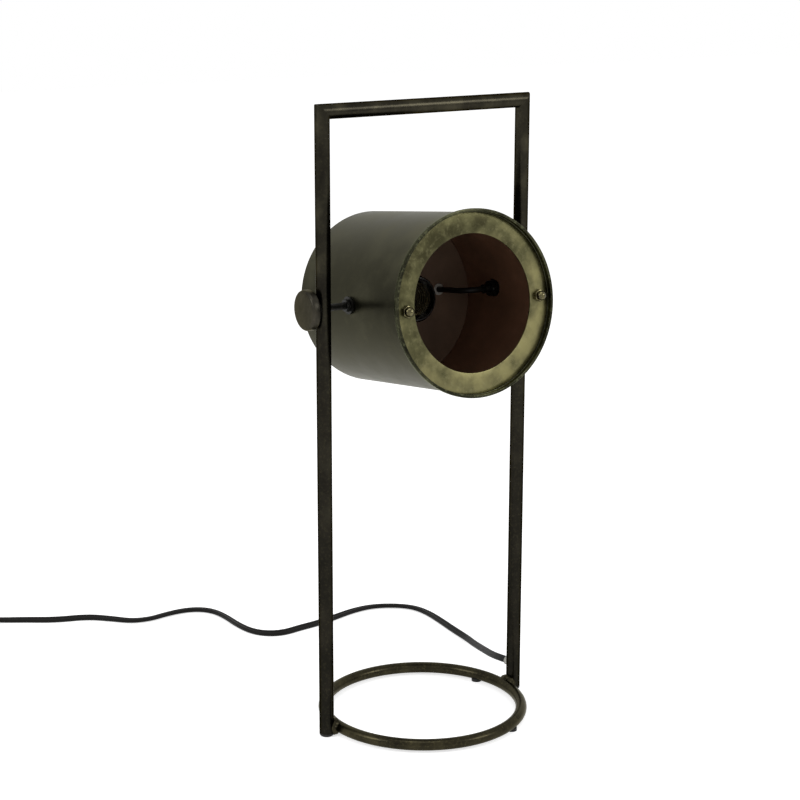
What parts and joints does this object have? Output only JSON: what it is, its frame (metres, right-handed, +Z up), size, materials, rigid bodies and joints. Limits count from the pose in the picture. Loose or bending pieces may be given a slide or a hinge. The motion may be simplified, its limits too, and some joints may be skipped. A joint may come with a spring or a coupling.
{
  "type": "tabletop searchlight lamp",
  "caption": "Drum-shaped searchlight head that tilts between the uprights of a slim tube frame on a round base ring, with a flat lead, rocker switch and plug.",
  "frame": {"origin": "centre of the base ring, on the table that the lamp stands on", "axes": "+Z up, -Y the way the open front of the head faces, X along the tilt axis with the lead's upright at +X"},
  "size_m": [0.5469, 0.5645, 0.548],
  "materials": {
    "frame_finish": "dark bronze lacquer, mottled with lighter olive",
    "drum_finish": "dark grey olive lacquer, satin",
    "bezel_finish": "antique brass, brushed and darkened",
    "inner_finish": "dark reddish brown",
    "knob_finish": "dark brown grey lacquer, satin",
    "dark_steel": "darkened steel",
    "plain_steel": "zinc plated",
    "holder_black": "black phenolic",
    "holder_core_white": "glazed ceramic white",
    "socket_brass": "plain",
    "pad_rubber": "dull black",
    "grommet_pale": "pale translucent grey",
    "lead_black": "soft dark vinyl",
    "moulding_black": "fine grain black",
    "pin_nickel": "nickel plated"
  },
  "bodies": {
    "frame": {"base_ring": "frame_finish", "cord_coil": "lead_black", "cord_grommet": "grommet_pale", "cord_tail": "lead_black", "cord_to_coil": "lead_black", "cord_to_switch": "lead_black", "knob_washers": "dark_steel", "left_upright": "frame_finish", "left_weld": "frame_finish", "plug_body": "moulding_black", "plug_pins": "pin_nickel", "plug_relief": "moulding_black", "right_upright": "frame_finish", "right_weld": "frame_finish", "ring_pads": "pad_rubber", "switch_base": "moulding_black", "switch_contacts": "socket_brass", "switch_cover": "moulding_black", "switch_reliefs": "moulding_black", "switch_screws": "plain_steel", "top_bar": "frame_finish", "upright_glides": "pad_rubber", "upright_lead": "lead_black"},
    "head": {"drum_shell": "drum_finish", "mount_plate": "inner_finish", "rear_cover": "inner_finish", "rear_standoffs": "plain_steel", "rear_cover_screws": "plain_steel", "bezel_ring": "bezel_finish", "bezel_lugs": "inner_finish", "bezel_studs": "plain_steel", "bezel_cap_nuts": "bezel_finish", "holder_cap": "holder_black", "holder_clamp_ring": "holder_black", "holder_skirt": "holder_black", "holder_screw_shell": "socket_brass", "holder_core": "holder_core_white", "holder_contact": "socket_brass", "left_pivot_stud": "dark_steel", "left_stud_washers": "dark_steel", "left_stud_nuts": "dark_steel", "right_pivot_stud": "dark_steel", "right_stud_washers": "dark_steel", "right_stud_nuts": "dark_steel", "head_lead": "lead_black", "plate_grommet": "grommet_pale"},
    "left_knob": {"left_knob": "knob_finish"},
    "right_knob": {"right_knob": "knob_finish"},
    "rocker": {"switch_rocker": "moulding_black"}
  },
  "joints": [
    {"name": "head_tilt", "type": "hinge", "parent": "frame", "child": "head", "pos_m": [0, 0, 0.38], "axis": [1, 0, 0], "range_deg": [-83, 97]},
    {"name": "left_knob_turn", "type": "hinge", "parent": "head", "child": "left_knob", "pos_m": [-0.115, 0, 0.38], "axis": [-1, 0, 0], "range_deg": [0, 180]},
    {"name": "right_knob_turn", "type": "hinge", "parent": "head", "child": "right_knob", "pos_m": [0.115, 0, 0.38], "axis": [1, 0, 0], "range_deg": [0, 180]},
    {"name": "switch_rock", "type": "hinge", "parent": "frame", "child": "rocker", "pos_m": [-0.30134, 0.44549, 0.0154], "axis": [-0.4229, -0.9062, 0], "range_deg": [0, 14]}
  ]
}
